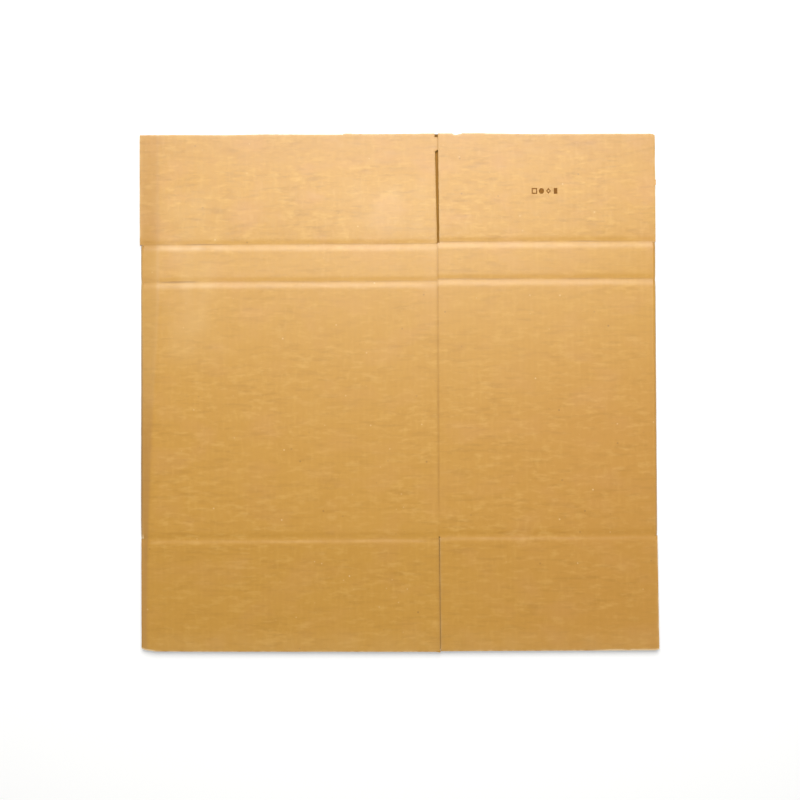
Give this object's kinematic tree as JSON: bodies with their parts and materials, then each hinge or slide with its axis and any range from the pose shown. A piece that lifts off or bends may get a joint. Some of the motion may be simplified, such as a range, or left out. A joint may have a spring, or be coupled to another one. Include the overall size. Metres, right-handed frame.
{
  "type": "flattened cardboard box",
  "caption": "Slotted shipping carton of kraft corrugated board, folded flat: a flattened tube of panels with scored top and bottom flaps.",
  "frame": {"origin": "middle of the bounding box, on the face that it lies on", "axes": "+X runs across the panels, to the right in the picture; +Y runs up the height of the box; +Z points out of the front face"},
  "size_m": [0.7056, 0.708, 0.0108],
  "materials": {
    "kraft_board": "matt unbleached kraft liner on corrugated board"
  },
  "bodies": {
    "carton": {"carton_body": "kraft_board"},
    "front_top_long_flap": {"front_top_long_flap": "kraft_board"},
    "front_top_short_flap": {"front_top_short_flap": "kraft_board"},
    "front_bottom_long_flap": {"front_bottom_long_flap": "kraft_board"},
    "front_bottom_short_flap": {"front_bottom_short_flap": "kraft_board"},
    "back_top_long_flap": {"back_top_long_flap": "kraft_board"},
    "back_top_short_flap": {"back_top_short_flap": "kraft_board"},
    "back_bottom_long_flap": {"back_bottom_long_flap": "kraft_board"},
    "back_bottom_short_flap": {"back_bottom_short_flap": "kraft_board"}
  },
  "joints": [
    {"name": "front_top_long_hinge", "type": "hinge", "parent": "carton", "child": "front_top_long_flap", "pos_m": [0, 0.202, 0.0108], "axis": [1, 0, 0], "range_deg": [0, 175]},
    {"name": "front_top_short_hinge", "type": "hinge", "parent": "carton", "child": "front_top_short_flap", "pos_m": [0, 0.2036, 0.0108], "axis": [1, 0, 0], "range_deg": [0, 175]},
    {"name": "front_bottom_long_hinge", "type": "hinge", "parent": "carton", "child": "front_bottom_long_flap", "pos_m": [0, -0.198, 0.0108], "axis": [-1, 0, 0], "range_deg": [0, 175]},
    {"name": "front_bottom_short_hinge", "type": "hinge", "parent": "carton", "child": "front_bottom_short_flap", "pos_m": [0, -0.1964, 0.0108], "axis": [-1, 0, 0], "range_deg": [0, 175]},
    {"name": "back_top_long_hinge", "type": "hinge", "parent": "carton", "child": "back_top_long_flap", "pos_m": [0, 0.2036, 0], "axis": [-1, 0, 0], "range_deg": [0, 175]},
    {"name": "back_top_short_hinge", "type": "hinge", "parent": "carton", "child": "back_top_short_flap", "pos_m": [0, 0.202, 0], "axis": [-1, 0, 0], "range_deg": [0, 175]},
    {"name": "back_bottom_long_hinge", "type": "hinge", "parent": "carton", "child": "back_bottom_long_flap", "pos_m": [0, -0.1964, 0], "axis": [1, 0, 0], "range_deg": [0, 175]},
    {"name": "back_bottom_short_hinge", "type": "hinge", "parent": "carton", "child": "back_bottom_short_flap", "pos_m": [0, -0.198, 0], "axis": [1, 0, 0], "range_deg": [0, 175]}
  ]
}
